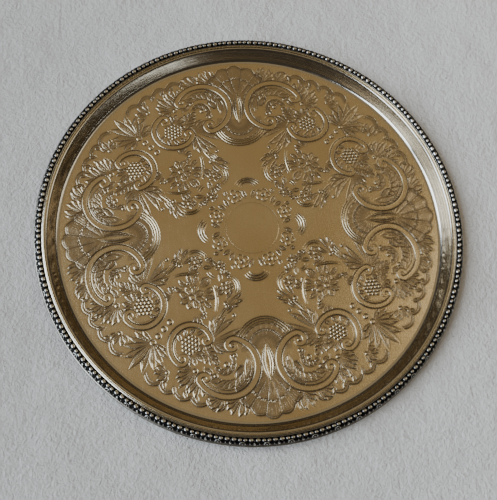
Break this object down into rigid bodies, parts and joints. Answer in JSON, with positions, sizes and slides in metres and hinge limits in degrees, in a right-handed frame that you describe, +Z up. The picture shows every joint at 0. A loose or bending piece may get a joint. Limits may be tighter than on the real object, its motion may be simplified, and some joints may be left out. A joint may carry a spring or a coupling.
{
  "type": "salver",
  "caption": "Round silver-plated salver: flat chased well, low cove and wall, stamped ornamental border, bright wires. Rests flat.",
  "frame": {"origin": "under the centre of the well, on the surface that the salver stands on", "axes": "+Z up, the axis of the round tray; -Y points at one of the four chased shells"},
  "size_m": [0.31, 0.31, 0.0126],
  "materials": {
    "chased_plate": null,
    "border_metal": "silver plate on stamped nickel silver, high points polished, hollows oxidised",
    "bright_wire": "silver plate on nickel silver wire, bright",
    "soft_solder": null
  },
  "bodies": {
    "root": {"tray_plate": "chased_plate", "border_length_01": "border_metal", "border_length_02": "border_metal", "border_length_03": "border_metal", "border_length_04": "border_metal", "border_length_05": "border_metal", "border_length_06": "border_metal", "border_length_07": "border_metal", "border_length_08": "border_metal", "border_length_09": "border_metal", "border_length_10": "border_metal", "border_length_11": "border_metal", "border_length_12": "border_metal", "solder_filling_01": "soft_solder", "solder_filling_02": "soft_solder", "solder_filling_03": "soft_solder", "solder_filling_04": "soft_solder", "solder_filling_05": "soft_solder", "solder_filling_06": "soft_solder", "solder_filling_07": "soft_solder", "solder_filling_08": "soft_solder", "solder_filling_09": "soft_solder", "solder_filling_10": "soft_solder", "solder_filling_11": "soft_solder", "solder_filling_12": "soft_solder", "crest_wire": "bright_wire", "edge_wire": "bright_wire"}
  },
  "joints": []
}
